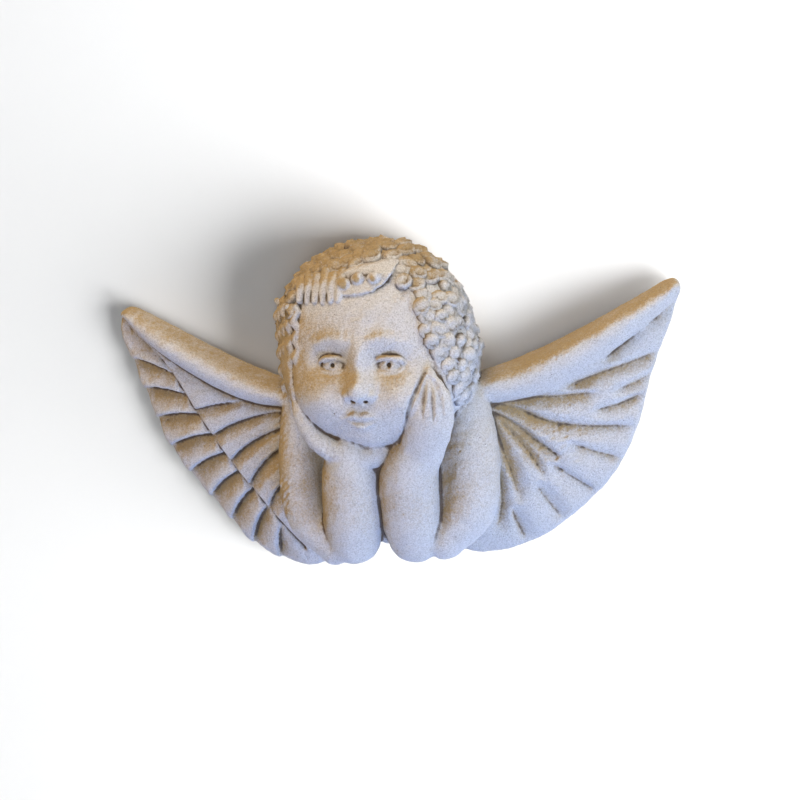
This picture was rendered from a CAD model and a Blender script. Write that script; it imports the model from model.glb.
"""Angel wall ornament: a cherub of cast stone that rests its chin on both hands between spread wings.

The sculpture is worked in millimetres, as places (x, z, depth): x to the viewer's right, z up, and depth
from the flat back towards the viewer. The finished meshes are in metres, with the front facing -Y.
"""

import math

import bpy
import numpy as np
import openvdb
from mathutils import Euler, Matrix, Vector


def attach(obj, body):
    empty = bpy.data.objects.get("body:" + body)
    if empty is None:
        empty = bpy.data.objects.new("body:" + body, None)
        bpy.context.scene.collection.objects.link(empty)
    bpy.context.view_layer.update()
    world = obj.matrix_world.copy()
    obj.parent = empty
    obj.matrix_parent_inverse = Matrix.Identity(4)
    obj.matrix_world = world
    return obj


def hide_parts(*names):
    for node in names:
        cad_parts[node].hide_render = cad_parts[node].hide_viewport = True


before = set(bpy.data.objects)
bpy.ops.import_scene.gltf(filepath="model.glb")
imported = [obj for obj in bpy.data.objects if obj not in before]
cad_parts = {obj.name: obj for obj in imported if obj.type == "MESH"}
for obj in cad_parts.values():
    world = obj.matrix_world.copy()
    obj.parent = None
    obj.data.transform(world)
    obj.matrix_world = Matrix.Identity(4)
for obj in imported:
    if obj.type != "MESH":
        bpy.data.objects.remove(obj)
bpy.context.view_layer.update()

bl_info = {
    "name": "Angel Wall Ornament",
    "version": (1, 0, 0),
    "blender": (4, 5, 0),
    "location": "View3D > Sidebar > Ornament",
    "description": "Builds a cast stone cherub plaque, its ring curls and a plain studio",
    "category": "Add Mesh",
}

MM = 0.001
NODE = "angel_casting"
STONE_PIECES = ("cherub_body", "ring_curls")
SEED = 11

# Grid of the sculpture, and how finely lines are followed
GRID_LOW = (-196.0, -132.0, -3.0)
GRID_HIGH = (218.0, 134.0, 98.0)
FAR_AWAY = 40.0
FAR_SQUARED = 1e9
BEHIND_BACK = -2
LIMB_STEPS = 14
LINE_STEPS = 40

# Small values that keep a division away from zero
SMALL_LENGTH = 1e-3
SMALL_LEVEL = 1e-4
SMALL_SLOPE = 1e-6
SMALL_AREA = 1e-9

# Wings: outlines from the body to the tip and from the tip to the body, then the lines of the feathers
LEFT_WING = {
    "top": [(-36, 14), (-78, 24), (-118, 43), (-161, 68), (-177, 77)],
    "outer": [(-177, 77), (-184.5, 78), (-189.5, 74.5), (-193, 67), (-193, 57), (-189.5, 45),
              (-177.5, 6), (-164.5, -32), (-133, -77), (-105, -112), (-67, -128), (-41, -120)],
    "body": [(-10, -94), (-10, 14)],
    "roll": [(-188, 69), (-160, 43), (-118, 17), (-89, 6), (-60, 3)],
    "roll_lift": 9.0,
    "roll_line": 0.75,
    "middle": [(-178, 60), (-156, 32), (-139, 0), (-116, -40), (-92, -75), (-66, -110)],
    "outer_grooves": {
        "edge": (0.04, 0.172, 0.255, 0.338, 0.421, 0.504, 0.587, 0.669, 0.752, 0.835, 0.925),
        "middle": (0.06, 0.20, 0.284, 0.367, 0.451, 0.535, 0.619, 0.702, 0.786, 0.87, 0.97),
    },
    "inner_grooves": {
        "middle": (0.345, 0.458, 0.57, 0.683, 0.795, 0.91),
        "roots": [(-66, 5), (-68, 1), (-70, -11), (-72, -25), (-74, -52), (-72, -86)],
    },
}
RIGHT_WING = {
    "top": [(36, 14), (86, 28), (129, 46), (171, 68), (199, 84)],
    "outer": [(199, 84), (209, 85.5), (213, 77), (206, 53.5), (193.5, 16.5), (181, -28), (159, -67),
              (113.5, -105.5), (71, -118.5), (40, -111)],
    "body": [(10, -94), (10, 14)],
    "roll": [(210, 72), (170, 42), (128, 16), (100, 7), (66, 4)],
    "roll_lift": 7.0,
    "roll_line": 0.0,
    "grooves": [
        [(222, 78), (198, 66), (182, 53)],
        [(190, 54), (171, 41), (155, 26)],
        [(214, 40), (184, 29), (156, 21), (122, 9)],
        [(208, 25), (184, 13), (160, 5)],
        [(164, 8), (128, 6), (107, 6), (70, 2)],
        [(200, 8), (170, -3), (146, -7)],
        [(192, -22), (149, -18), (121, -13), (93, 0), (70, 4)],
        [(182, -50), (152, -38), (130, -28)],
        [(133, -45), (113, -29), (92, -11), (70, 3)],
        [(162, -77), (134, -56), (117, -41)],
        [(119, -63), (106, -38), (95, -23), (76, 0)],
        [(134, -101), (116, -74), (106, -56)],
        [(99, -80), (91, -49), (82, -19), (72, 2)],
        [(104, -117), (94, -92), (89, -72)],
        [(78, -104), (84, -70), (79, -36)],
    ],
}
WING_EDGE_DEPTH = 9.0
WING_RISE = 20.0
WING_RISE_REACH = 46.0
WING_MARGIN = 6
WING_FRONT = 46
WING_RIPPLE = 0.4
WING_RIPPLE_LENGTH = 30
TIP_RUN = 12
EDGE_ROUNDING = 6.0
TOP_ROUNDING = 9.0
EDGE_NOTCH = 0.8

# The rolled upper edge of a wing, and the line below it on its upper and lower side
ROLL_WIDTH = 22.0
ROLL_FULLNESS = 0.8
ROLL_LEAST_WIDTH = 0.1
ROLL_CLEARANCE = 2.5
ROLL_LINE_WIDTHS = (1.2, 3.0)

# Feathers of the crisp wing: sizes in millimetres, and shares of a feather's width or of the groove depth
OVERLAP_LIFT = 2.2
OVERLAP_SOFTNESS = 1.0
FEATHER_CREST = 0.86
FEATHER_DROOP = 0.12
FEATHER_FALL = 1.25
FEATHER_BOW = 0.07
FEATHER_REACH = 1.25
FEATHER_ROOT_FADE = 9
FULL_FEATHER_WIDTH = 15.0
LEAST_FEATHER_WIDTH = 0.5
DEEPEST_FEATHER = 1.15
ROLL_FEATHER_CUT = 0.8
MIDDLE_LINE_CUT = 0.95
MIDDLE_LINE_WIDTH = 1.7

# Grooves of the worn wing, and how every groove thins out at the rim
WORN_STEEP = 3.2
WORN_GENTLE = 13.0
WORN_SLOPE = 1.3
WORN_FADE = 18.0
RIM_CUT = 0.5
RIM_FADE = 9

# Unevenness: how many waves, the range of their lengths, and what their sum is divided by
RIPPLE_WAVES = 6
RIPPLE_RANGE = (0.6, 1.6)
SPACE_WAVES = 7
SPACE_RANGE = (0.7, 1.5)
WAVE_SUM = 3

# Weathered skin: depth and wave length of its roughness, rough patches (x, z, reach) and air bubble pits
SKIN_BAND = 3
FINE_ROUGHNESS = (0.14, 4.5)
SLOW_ROUGHNESS = (0.2, 13)
PATCH_ROUGHNESS = 0.5
ROUGH_PATCHES = [(-80, -16, 13), (-75, -56, 16), (124, -32, 24)]
PIT_MARGIN = 4
PIT_SIZES = (0.5, 0.9)
PIT_STRETCH = 1.3
PIT_LIFT = 0.2
PIT_BLEND = 0.5

# Hollows: reaches and their weights, the stone around a flat skin, and how much more a full hollow has
HOLLOW_REACHES = [(2.4, 0.7), (7.0, 0.3)]
FLAT_SKIN = 0.5
FULL_HOLLOW = 0.22

# Head: half sizes of the skull and the oval of the face, in the head's own frame
HEAD_CENTRE = (3.0, 52.0, 32.0)
HEAD_TURN = math.radians(-9)
HEAD_TILT = math.radians(-1)
HEAD_NOD = math.radians(-9)
HEAD_MARGIN = 12
SKULL = (68.0, 66.0, 46.0)
HAIR_PROUD = 3.0
EYE_PLACE = (20.0, -12.0)

# A small child's eyes lie at three sevenths of the head's height, which sets the chin
EYE_LINE_SHARE = 3 / 7
JAW_REACH = (EYE_LINE_SHARE * (SKULL[1] + HAIR_PROUD) - EYE_PLACE[1]) / (1 - EYE_LINE_SHARE)
SKULL_SQUARENESS = (2.25, 2.75)
SQUARING_DROP = 45
JAW_TAPER = 0.14
CROWN_TAPER = 0.13
CROWN_TAPER_SPAN = (-25.0, 40.0)
NECK_SHARE = 0.97
FACE_OVAL = {"x": -5.0, "z": -14.0, "half_width": 49.0, "half_height": 64.0, "squareness": 2.4}
HAIR_BOTTOM = -40.0

# The hairline swings out beside the right cheek
CHEEK_SPREAD = 0.33
CHEEK_TOP = 8.0

# How softly the parts of the head run into each other
FACE_FORWARD = (0.1, 0.5)
HEAD_BLEND = 4
HAIR_EDGE_BLEND = 3
HAIRLINE_BLEND = 1.5
BLOCK_ROUNDING = 2

# Fringe: strands from root to tip, the flat pad beside them and the beads on it
STRANDS = [
    [(-46, 101), (-45, 96), (-47, 88)],
    [(-40, 105), (-39, 98), (-41, 87.5)],
    [(-33.5, 104), (-33, 98), (-35, 88.5)],
    [(-27, 108), (-27, 100), (-29, 88.5)],
    [(-21, 105), (-21.5, 99), (-23, 90)],
    [(-15, 107), (-15.5, 100), (-17.5, 90.5)],
]
STRAND_RADII = [
    (3.2, 4.4, 2.2),
    (3.0, 3.8, 1.6),
    (3.4, 4.3, 2.0),
    (3.0, 4.0, 1.7),
    (3.4, 4.4, 2.1),
    (3.0, 3.9, 1.8),
]
STRAND_LIFT = 1.4
STRAND_BLEND = 1.2
PAD = [(-18, 95), (-12, 93), (-3, 94), (6, 95.5), (14, 100), (20, 107), (25, 114), (18, 115), (6, 113),
       (-8, 112), (-17, 106)]
PAD_THICKNESS = 2.0
PAD_RISE = 0.22
SHEET_BLEND = 0.6
SHEET_ROUNDING = 1.5
SHEET_MARGIN = (2, 2, 14)
BEADS = [(-13, 100.5), (-3.5, 104), (7.5, 104.5)]
BEAD_HALF = (4.6, 4.4, 3.8)
BEAD_LIFT = 1.0
BEAD_BLEND = 0.4

# Wavy locks by the left cheek: where each stands, its depth and where its waves begin
SIDE_LOCKS = [(-50, 58, 0.0), (-54.5, 55, 1.9), (-59, 50, 3.6), (-63, 43, 5.4), (-66.5, 34, 1.1)]
LOCK_SPAN = (84, 14)
LOCK_WAVE = 13.0
LOCK_SWING = 1.7
LOCK_MIDDLE = 50
LOCK_FALL = 0.1
LOCK_RADII = [2.2, 3.1, 2.5, 3.4, 2.7, 3.2, 1.8]
LOCK_BLEND = 0.5

# Soft forms of the face: (x, z, half width, half height, rise, whether both sides have it)
FACE_FORMS = [
    (0, 30, 40, 24, 3.0, False),
    (18, 4, 17, 8, 1.6, True),
    (20, -11, 12.5, 8, -6.5, True),
    (29, -36, 19, 17, 7.5, True),
    (0, -10, 6.5, 13, 5.5, False),
    (0, -27, 8, 8, 11.0, False),
    (0, -49, 18, 12, 5.0, False),
    (0, -68, 16, 9, 7.0, False),
]

# Eyes, and their lids: half width, offset, rise, stand-out at the corners and what the middle adds, radii
EYE_HALF = (9.2, 6.0, 6.8)
EYE_SINK = -1.5
EYE_BLEND = 1.0
LID_ANGLES = np.linspace(math.radians(10), math.radians(172), 7)
UPPER_LID = (10.4, 0.3, 5.0, 1.8, 4.4, [1.2, 1.9, 2.1, 1.9, 1.3])
UPPER_LID_BLEND = 0.8
LOWER_LID = (10.0, -0.3, -4.6, 1.4, 3.6, [1.0, 1.4, 1.5, 1.3, 1.0])
LOWER_LID_BLEND = 1.0
PUPIL_SPAN = (5, 10)
PUPIL_RADII = [1.8, 2.0]
PUPIL_BLEND = 0.8

# Lines of the face: places (x, z), lift over the skin, radii and blend
BROW = ([(8, 5.0), (19, 7.0), (31, 3.5)], -2.2, [1.4, 2.2, 1.4], 5.0)
UPPER_LIP = ([(-13, -48.4), (-5, -45.6), (0, -46.6), (5, -45.6), (13, -48.4)], -0.8,
             [1.1, 2.8, 2.6, 2.8, 1.1], 1.0)
LOWER_LIP = ([(-10.5, -50.2), (0, -53.2), (10.5, -50.2)], -0.4, [1.2, 3.4, 1.2], 1.0)
LIP_PARTING = ([(-14, -48.2), (0, -49.6), (14, -48.2)], 2.4, [0.9, 1.1, 0.9], 0.6)

# Rounds of the face: place (x, z), lift over the skin, half sizes and blend
NOSE_WING = ((7.6, -31.5), -2.6, (4.4, 4.2, 4.8), 2.0)
NOSTRIL = ((4.2, -35.8), -0.6, (2.0, 1.4, 2.4), 1.0)
NOSE_TIP = ((0, -29.5), -5.5, (6.8, 6.4, 7.0), 3.0)

# Throat, arms and hands: places along each limb and its radius there
THROAT = ([(0, 14, 30), (-2, -8, 42), (0, -26, 42)], [30, 26, 21])
LEFT_CREASE = ([(-46, -14, 25), (-47, -56, 26), (-40, -90, 31)], [12, 12, 10])
RIGHT_CREASE = ([(46, -8, 34), (46, -56, 40), (43, -88, 40)], [13, 14.5, 13])
MIDDLE_CREASE = ([(1, -40, 42), (1, -66, 42), (2, -88, 38)], [12, 12, 9])
LEFT_UPPER_ARM = ([(-57, 8, 26), (-60, -38, 35), (-57, -74, 40), (-36, -98, 46)], [14, 15.5, 14.5, 12])
RIGHT_UPPER_ARM = ([(61, 4, 28), (63, -30, 37), (61, -66, 42), (44, -91, 46)], [18, 22, 21.5, 15])
LEFT_FOREARM = ([(-22, -89, 47), (-20.5, -70, 51), (-19.5, -40, 54), (-18, -20, 56)], [19.5, 22, 21, 17])
RIGHT_FOREARM = ([(22.5, -88, 47), (21.5, -70, 51), (22, -38, 57), (30, -16, 62)], [19.5, 22, 21, 17])
LEFT_HAND = ([(-55, 28, 51), (-51, 11, 58), (-43.5, -5, 61), (-34, -14, 62), (-20, -20, 62),
              (-3, -22, 60), (12, -16, 58)], [4, 6, 7.5, 8.7, 9.8, 10, 8.5])
RIGHT_PALM = ([(28, -28, 60), (35, -10, 70), (42, 9, 78), (43.5, 22, 80), (43, 33, 80), (42.8, 43, 79)],
              [17, 16.5, 16, 13.3, 8, 2.6])

# The limbs in the order in which they are joined, with their flatness and blend
LIMBS = [
    (THROAT, 1.0, 4.0),
    (LEFT_CREASE, 1.0, 5.0),
    (RIGHT_CREASE, 1.0, 5.0),
    (MIDDLE_CREASE, 1.0, 5.0),
    (LEFT_UPPER_ARM, 1.0, 4.0),
    (RIGHT_UPPER_ARM, 1.0, 4.0),
    (LEFT_FOREARM, 0.95, 2.0),
    (RIGHT_FOREARM, 0.95, 2.0),
    (LEFT_HAND, 1.0, 1.2),
    (RIGHT_PALM, 0.62, 1.0),
]

# Grooves of the right hand: its edge by the cheek, then the lines of the fingers
FINGER_GROOVES = [
    [(18.5, -10), (26, 9), (30.5, 23), (40, 42)],
    [(38, 12), (38.4, 26), (41.6, 39)],
    [(44.6, 10), (44.6, 25), (43.4, 39)],
    [(51, 9), (50.6, 24), (46, 37)],
]
FINGER_GROOVE_RADII = [0.6, 2.1, 1.6]
FINGER_GROOVE_LIFT = 0.2
FINGER_GROOVE_BLEND = 0.6

# The block of the body behind the arms
CHEST_OUTLINE = [(-66, 24), (-68, -56), (-40, -96), (0, -90), (44, -96), (74, -56), (70, 24)]
CHEST_DEPTH = 34.0
CHEST_MARGIN = 8
CHEST_ROUNDING = 6
BODY_BLEND = 3.0

# Curls: trial places on the skull, where no curl may stand, and how each one sits on the scalp
SKULL_ROUNDS = 6
SKULL_TRIALS = 9000
SIDE_TRIALS = 4000
CURL_BACK = 8.0
HAIRLINE_GAP = 0.3
CURL_BOTTOM_GAP = 4
SIDE_BOTTOM_GAP = 8
FRINGE_TOP = ([-46, -22, -18, 2, 8, 25], [46, 46, 53, 54, 57, 58])
LOCKS_INNER_SIDE = -38
LOCKS_TOP = 14
LOCKS_BACK = 4
CURL_SINK = (-2.4, -1.0)
CURL_LEAN = 0.12
CURL_SPIN = 0.8

# A curl: spread and height by the distance from its middle, and the side on which its cup is open
CURL_SEGMENTS = 9
CURL_RINGS = 6
RING_SPREAD = [(0.0, 0.0), (0.5, 0.45), (0.866, 0.78), (1.0, 1.0)]
BALL_IN_CUP = [(0.0, 1.0), (0.5, 0.34), (0.866, 0.74), (1.0, 0.0)]
PLAIN_DOME = [(0.0, 1.0), (0.5, 0.88), (0.866, 0.58), (1.0, 0.0)]
OPEN_MIDDLE = 0.5
OPEN_SLOPE = 0.75
CURL_ROOT = 0.6
CURL_FOOT = -0.01
RIM_HOLLOW = 0.7

# Wear: where the wash is thin, from the way a place faces, in grooves, on the back and between the curls
SHELTERED_SIDE = Vector((-0.62, 0.30, 0.86)).normalized()
SHELTER_SPAN = (-0.25, 0.75)
GROOVE_WEAR = 0.95
GROOVE_WEAR_POWER = 1.4
GROOVE_SKIN = 2.5
BACK_FACING = 0.98
BACK_SKIN = 0.4
BACK_BARE = 0.5
SCALP_HOLLOW = 0.58
SCALP_SHARE = 0.85
BEAD_WEAR_REACH = 3.2
BEAD_WEAR = 3.4

# Touches of the brush: place, reach and how much stone it bared, or less than 0 for a thick wash
TOUCHES = [
    (-40, 90, 9, -1.2), (-26, 91, 9, -1.2), (-7, 99, 11, -1.7), (8, 103, 11, -1.7), (18, 109, 8, -1.5),
    *((x, z, BEAD_WEAR_REACH, BEAD_WEAR) for x, z in BEADS),
    (-24, 122, 24, 0.4), (12, 127, 20, 0.4), (-48, 104, 14, 0.4), (40, 112, 14, 0.4),
    (-62, 72, 13, 0.5), (-62, 50, 14, 0.5), (-60, 30, 11, 0.4),
    (62, 62, 26, -0.6), (60, 32, 20, -0.8),
    (-51, -25, 11, 0.6), (-52, -48, 11, 0.6), (-50, -70, 11, 0.5), (54, -40, 14, 0.3), (54, -62, 13, 0.3),
    (-20, -58, 24, 0.25), (22, -58, 24, 0.25), (-19, -37, 9, 0.35),
    (140, -60, 28, -0.35), (112, -86, 24, -0.4), (166, -8, 24, -0.25), (176, 42, 26, -0.2),
    (98, -16, 22, 0.35), (86, -48, 16, 0.25), (-84, -28, 20, 0.4), (-77, -58, 14, 0.4),
    (-44, -2, 15, -0.6), (-26, -18, 14, -0.6), (-8, -24, 14, -0.6), (44, 14, 17, -0.5),
]

# Patterns in the stone's colour, and how strongly each one shows
CLOUD = {"Scale": 60.0, "Detail": 6.0, "Roughness": 0.65}
GRAIN = {"Scale": 560.0, "Detail": 4.0, "Roughness": 0.85}
SPECK = {"Scale": 1000.0, "Detail": 3.0, "Roughness": 0.8}
PINHOLE = {"Scale": 260.0, "Randomness": 1.0}
PATTERN_MIDDLE = 0.5
DRIFT_STRENGTH = 0.7
SAND_STRENGTH = 1.6
BARE_FROM, BARE_TO = 0.0, 1.1
DIRT_DRIFT = 0.5
DIRT_SAND = 0.4
DIRT_FROM, DIRT_TO, DIRT_MOST = 0.33, 0.8, 0.95
SPECK_FROM, SPECK_TO, SPECK_MOST = 0.45, 0.66, 0.55
PINHOLE_RARITY = 0.76
PINHOLE_REACH = 0.1
PINHOLE_DIRT = 0.7
BUMP_CLOUD = 0.5
BUMP_DISTANCE = 0.004
STONE_SHINE = 0.2

# Stage, in metres: the wall stands a little behind the plaque, and the floor is out of the picture
WALL_BACK = 0.008
WALL_TOP = 2.0
FLOOR_LEVEL = -1.5
FLOOR_FRONT = -3.0
HALF_WIDTH = 3.0
WHITE = (1.0, 1.0, 1.0)

# The camera's sensor, in millimetres
SENSOR_WIDTH = 36.0

# Lights on the wall: name, place, size, the setting of its power and colour
WALL_LIGHTS = [
    ("wall_light", (2.2, -1.0, -0.95), 2.8, "wall_power", WHITE),
    ("wall_fill", (0.0, -2.0, 0.0), 1.0, "fill_power", (0.9, 0.95, 1.0)),
]

# Lights on the stone: name, place, share of the power and colour
STONE_LIGHT_SIZE = 0.6
STONE_LIGHTS = [
    ("front_light", (0.1, -1.15, 0.1), 0.36, (1.0, 0.96, 0.86)),
    ("top_light", (-0.1, -0.35, 1.0), 0.60, (1.0, 0.84, 0.62)),
    ("right_light", (1.0, -0.5, 0.1), 0.48, (0.74, 0.88, 1.0)),
    ("low_light", (0.45, -0.65, -0.8), 0.9, (0.18, 0.40, 1.0)),
    ("left_light", (-1.0, -0.7, 0.25), 0.22, (1.0, 0.72, 0.5)),
    ("back_light", (0.0, 1.2, 0.1), 0.4, (1.0, 0.96, 0.9)),
]


class CastingSettings(bpy.types.PropertyGroup):
    """Sizes of the cast body that a maker would change."""

    cell: bpy.props.FloatProperty(
        name="Cell", description="Grid step of the sculpture, in millimetres", default=0.8, min=0.5, max=4.0)
    left_groove: bpy.props.FloatProperty(
        name="Left Groove", description="Depth of the crisp left wing's grooves, in millimetres",
        default=6.6)
    right_groove: bpy.props.FloatProperty(
        name="Right Groove", description="Depth of the worn right wing's grooves, in millimetres",
        default=5.4)
    triangles: bpy.props.IntProperty(
        name="Triangles", description="Triangles kept on the finished body", default=185000)
    pits: bpy.props.IntProperty(name="Pits", description="Air bubble pits in the skin", default=50)


class CurlSettings(bpy.types.PropertyGroup):
    """Sizes of the ring curls."""

    radius: bpy.props.FloatProperty(
        name="Radius", description="Radius of a curl", default=7.3 * MM, unit="LENGTH")
    height: bpy.props.FloatProperty(
        name="Height", description="Height of a curl above the scalp", default=5.8 * MM, unit="LENGTH")
    spacing: bpy.props.FloatProperty(
        name="Spacing", description="Distance between curls", default=7.5 * MM, unit="LENGTH")
    size_range: bpy.props.FloatProperty(
        name="Size Range", description="Share by which curls differ in size", default=0.2, subtype="FACTOR")


class StoneSettings(bpy.types.PropertyGroup):
    """Colours of the cast stone."""

    wash: bpy.props.FloatVectorProperty(
        name="Wash", description="Pale wash on faces that look down, right and forward", subtype="COLOR",
        size=4, default=(0.74, 0.70, 0.675, 1.0), min=0.0, max=1.0)
    bare: bpy.props.FloatVectorProperty(
        name="Bare Stone", description="Bare stone on faces that look up and left", subtype="COLOR",
        size=4, default=(0.49, 0.33, 0.147, 1.0), min=0.0, max=1.0)
    hollow: bpy.props.FloatVectorProperty(
        name="Hollow", description="Dirt in grooves and hollows", subtype="COLOR",
        size=4, default=(0.135, 0.09, 0.058, 1.0), min=0.0, max=1.0)
    speck: bpy.props.FloatVectorProperty(
        name="Speck", description="Fine sand that shows through the wash", subtype="COLOR",
        size=4, default=(0.27, 0.215, 0.165, 1.0), min=0.0, max=1.0)
    roughness: bpy.props.FloatProperty(
        name="Roughness", description="Roughness of the stone", default=0.92, subtype="FACTOR")


class StageSettings(bpy.types.PropertyGroup):
    """Camera, lights and backdrop."""

    azimuth: bpy.props.FloatProperty(
        name="Azimuth", description="Camera turned to the viewer's right", default=math.radians(8),
        subtype="ANGLE")
    elevation: bpy.props.FloatProperty(
        name="Elevation", description="Camera above the horizon", default=math.radians(16),
        subtype="ANGLE")
    roll: bpy.props.FloatProperty(
        name="Roll", description="Camera turned about its view", default=math.radians(-3.5),
        subtype="ANGLE")
    distance: bpy.props.FloatProperty(
        name="Distance", description="Camera to the plaque", default=1.0, unit="LENGTH")
    aim: bpy.props.FloatVectorProperty(
        name="Aim", description="Point in the middle of the picture", default=(0.011, 0.0, 0.0),
        subtype="TRANSLATION")
    lens: bpy.props.FloatProperty(name="Lens", description="Focal length in millimetres", default=61.2)
    wall: bpy.props.FloatVectorProperty(
        name="Wall", description="Wall and floor colour", subtype="COLOR",
        size=4, default=(0.9, 0.9, 0.9, 1.0), min=0.0, max=1.0)
    wall_power: bpy.props.FloatProperty(
        name="Wall Power", description="Soft light on the wall from the lower right", default=290.0,
        unit="POWER")
    fill_power: bpy.props.FloatProperty(
        name="Fill Power", description="Soft light on the wall from the front", default=7.0,
        unit="POWER")
    stone_power: bpy.props.FloatProperty(
        name="Stone Power", description="Soft lights on the stone", default=20.0, unit="POWER")
    sky: bpy.props.FloatProperty(
        name="Sky", description="Strength of the even light all round", default=0.12)


SETTINGS = {
    "ornament_casting": CastingSettings,
    "ornament_curls": CurlSettings,
    "ornament_stone": StoneSettings,
    "ornament_stage": StageSettings,
}


def smooth_line(points, count):
    """Points along a smooth curve through the given points."""
    points = np.asarray(points, float)
    ends = np.vstack([2 * points[0] - points[1], points, 2 * points[-1] - points[-2]])
    at = np.linspace(0, len(points) - 1, count)
    span = np.minimum(at.astype(int), len(points) - 2)
    share = (at - span)[:, None]
    before, start, stop, after = (ends[span + k] for k in range(4))
    square = 2 * before - 5 * start + 4 * stop - after
    cube = 3 * start - before - 3 * stop + after
    return 0.5 * (2 * start + (stop - before) * share + square * share**2 + cube * share**3)


def soft_min(a, b, width):
    """The lesser of two distances, rounded off where they come within width of each other."""
    if width == 0:
        return np.minimum(a, b)
    near = np.maximum(width - np.abs(a - b), 0) / width
    return np.minimum(a, b) - near * near * (width / 4)


def soft_max(a, b, width):
    """The greater of two distances, rounded off where they come within width of each other."""
    return -soft_min(-a, -b, width)


def soft_step(value, low, high):
    """0 below low, 1 above high, and a smooth rise between."""
    share = np.clip((value - low) / (high - low), 0, 1)
    return share * share * (3 - 2 * share)


class Clay:
    """Distances to the skin of the stone on a grid of places (x, z, depth), negative inside."""

    def __init__(self, cell):
        self.cell = cell
        self.low = np.array(GRID_LOW)
        shape = np.ceil((np.array(GRID_HIGH) - self.low) / cell).astype(int) + 1
        self.axes = [(self.low[k] + cell * np.arange(shape[k])).astype(np.float32) for k in range(3)]
        self.field = np.full(shape, FAR_AWAY, np.float32)

    def window(self, low, high):
        """The part of the grid between two corners, and its places."""
        first = np.floor((np.asarray(low) - self.low) / self.cell).astype(int)
        last = np.ceil((np.asarray(high) - self.low) / self.cell).astype(int) + 1
        part = tuple(slice(max(a, 0), max(b, 0)) for a, b in zip(first, last))
        places = [axis[span] for axis, span in zip(self.axes, part)]
        return part, np.meshgrid(*places, indexing="ij", sparse=True)

    def add(self, form, blend=0.0):
        """Joins a form to the stone."""
        part, places = self.window(form.low - blend - 1, form.high + blend + 1)
        self.field[part] = soft_min(self.field[part], form.distance(*places), blend)

    def carve(self, form, blend=0.0):
        """Takes a form out of the stone."""
        part, places = self.window(form.low - blend - 1, form.high + blend + 1)
        self.field[part] = soft_max(self.field[part], -form.distance(*places), blend)

    def front(self, x, z):
        """Depth of the foremost stone at a place, or None where there is none."""
        column = self.field[int((x - self.low[0]) / self.cell), int((z - self.low[1]) / self.cell)]
        inside = np.nonzero(column < 0)[0]
        return self.axes[2][inside[-1]] if len(inside) else None


class HeadPose:
    """The head's own frame: right, up and forward directions about its centre."""

    def __init__(self):
        turned = Euler((HEAD_NOD, HEAD_TILT, HEAD_TURN), "XYZ").to_matrix()
        own = [turned @ Vector(axis) for axis in ((1, 0, 0), (0, 0, 1), (0, -1, 0))]
        self.axes = np.array([(v.x, v.z, -v.y) for v in own])
        self.centre = np.array(HEAD_CENTRE)

    def local(self, x, z, depth):
        """Places of the plaque in the head's frame."""
        dx, dz, dd = x - self.centre[0], z - self.centre[1], depth - self.centre[2]
        return [np.float32(a[0]) * dx + np.float32(a[1]) * dz + np.float32(a[2]) * dd for a in self.axes]

    def place(self, points):
        """Places of the head's frame on the plaque."""
        return np.asarray(points, float) @ self.axes + self.centre


POSE = HeadPose()


class Limb:
    """A round form along a smooth line, with a radius at each of its places, flattened in depth."""

    def __init__(self, places, radii, flatness=1.0, on_head=False):
        self.steps = max(LIMB_STEPS, 3 * len(places))
        points = smooth_line(places, self.steps)
        points = POSE.place(points) if on_head else points
        share = np.linspace(0, 1, self.steps)
        self.radii = np.interp(share, np.linspace(0, 1, len(radii)), radii)
        reach = self.radii.max() * max(1.0, flatness)
        self.low = points.min(0) - reach
        self.high = points.max(0) + reach
        self.flatness = flatness
        self.points = points * (1, 1, 1 / flatness)

    def distance(self, x, z, depth):
        """Distance to the skin of the limb."""
        depth = depth / np.float32(self.flatness)
        best = None
        for k in range(self.steps - 1):
            start = self.points[k].astype(np.float32)
            run = (self.points[k + 1] - self.points[k]).astype(np.float32)
            dx, dz, dd = x - start[0], z - start[1], depth - start[2]
            along = np.clip((dx * run[0] + dz * run[1] + dd * run[2]) / (run @ run), 0, 1)
            gap = np.sqrt((dx - along * run[0])**2 + (dz - along * run[1])**2 + (dd - along * run[2])**2)
            gap -= np.float32(self.radii[k]) + along * np.float32(self.radii[k + 1] - self.radii[k])
            best = gap if best is None else np.minimum(best, gap)
        return best * np.float32(min(1.0, self.flatness))


class Egg:
    """An ellipsoid with its axes along the head's or the plaque's directions."""

    def __init__(self, centre, halves, on_head=False):
        self.on_head = on_head
        self.halves = np.array(halves, np.float32)
        self.own_centre = np.array(centre, np.float32)
        middle = POSE.place([centre])[0] if on_head else np.array(centre, float)
        self.low = middle - max(halves)
        self.high = middle + max(halves)

    def distance(self, x, z, depth):
        """Distance to the skin of the egg."""
        places = POSE.local(x, z, depth) if self.on_head else (x, z, depth)
        offsets = [p - c for p, c in zip(places, self.own_centre)]
        level = np.sqrt(sum((o / h)**2 for o, h in zip(offsets, self.halves)))
        slope = np.sqrt(sum((o / h**2)**2 for o, h in zip(offsets, self.halves))) + SMALL_SLOPE
        return level * (level - 1) / slope


def skull_power(z):
    """How square the skull is at a height: rounder at the crown and fuller at the jaw."""
    crown, jaw = SKULL_SQUARENESS
    return crown + (jaw - crown) * soft_step(-z, 0, SQUARING_DROP)


def skull_shares(x, z, forward):
    """A place of the head's frame as shares of the skull's half sizes, which taper at jaw and crown."""
    below = np.clip(-z / JAW_REACH, 0, 1)
    height = np.where(np.asarray(z) < 0, JAW_REACH, SKULL[1])
    crown = np.where(np.asarray(x) > 0, CROWN_TAPER * soft_step(z, *CROWN_TAPER_SPAN), 0)
    width = SKULL[0] * (1 - JAW_TAPER * below * below - crown)
    return x / width, z / height, forward / SKULL[2]


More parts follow.
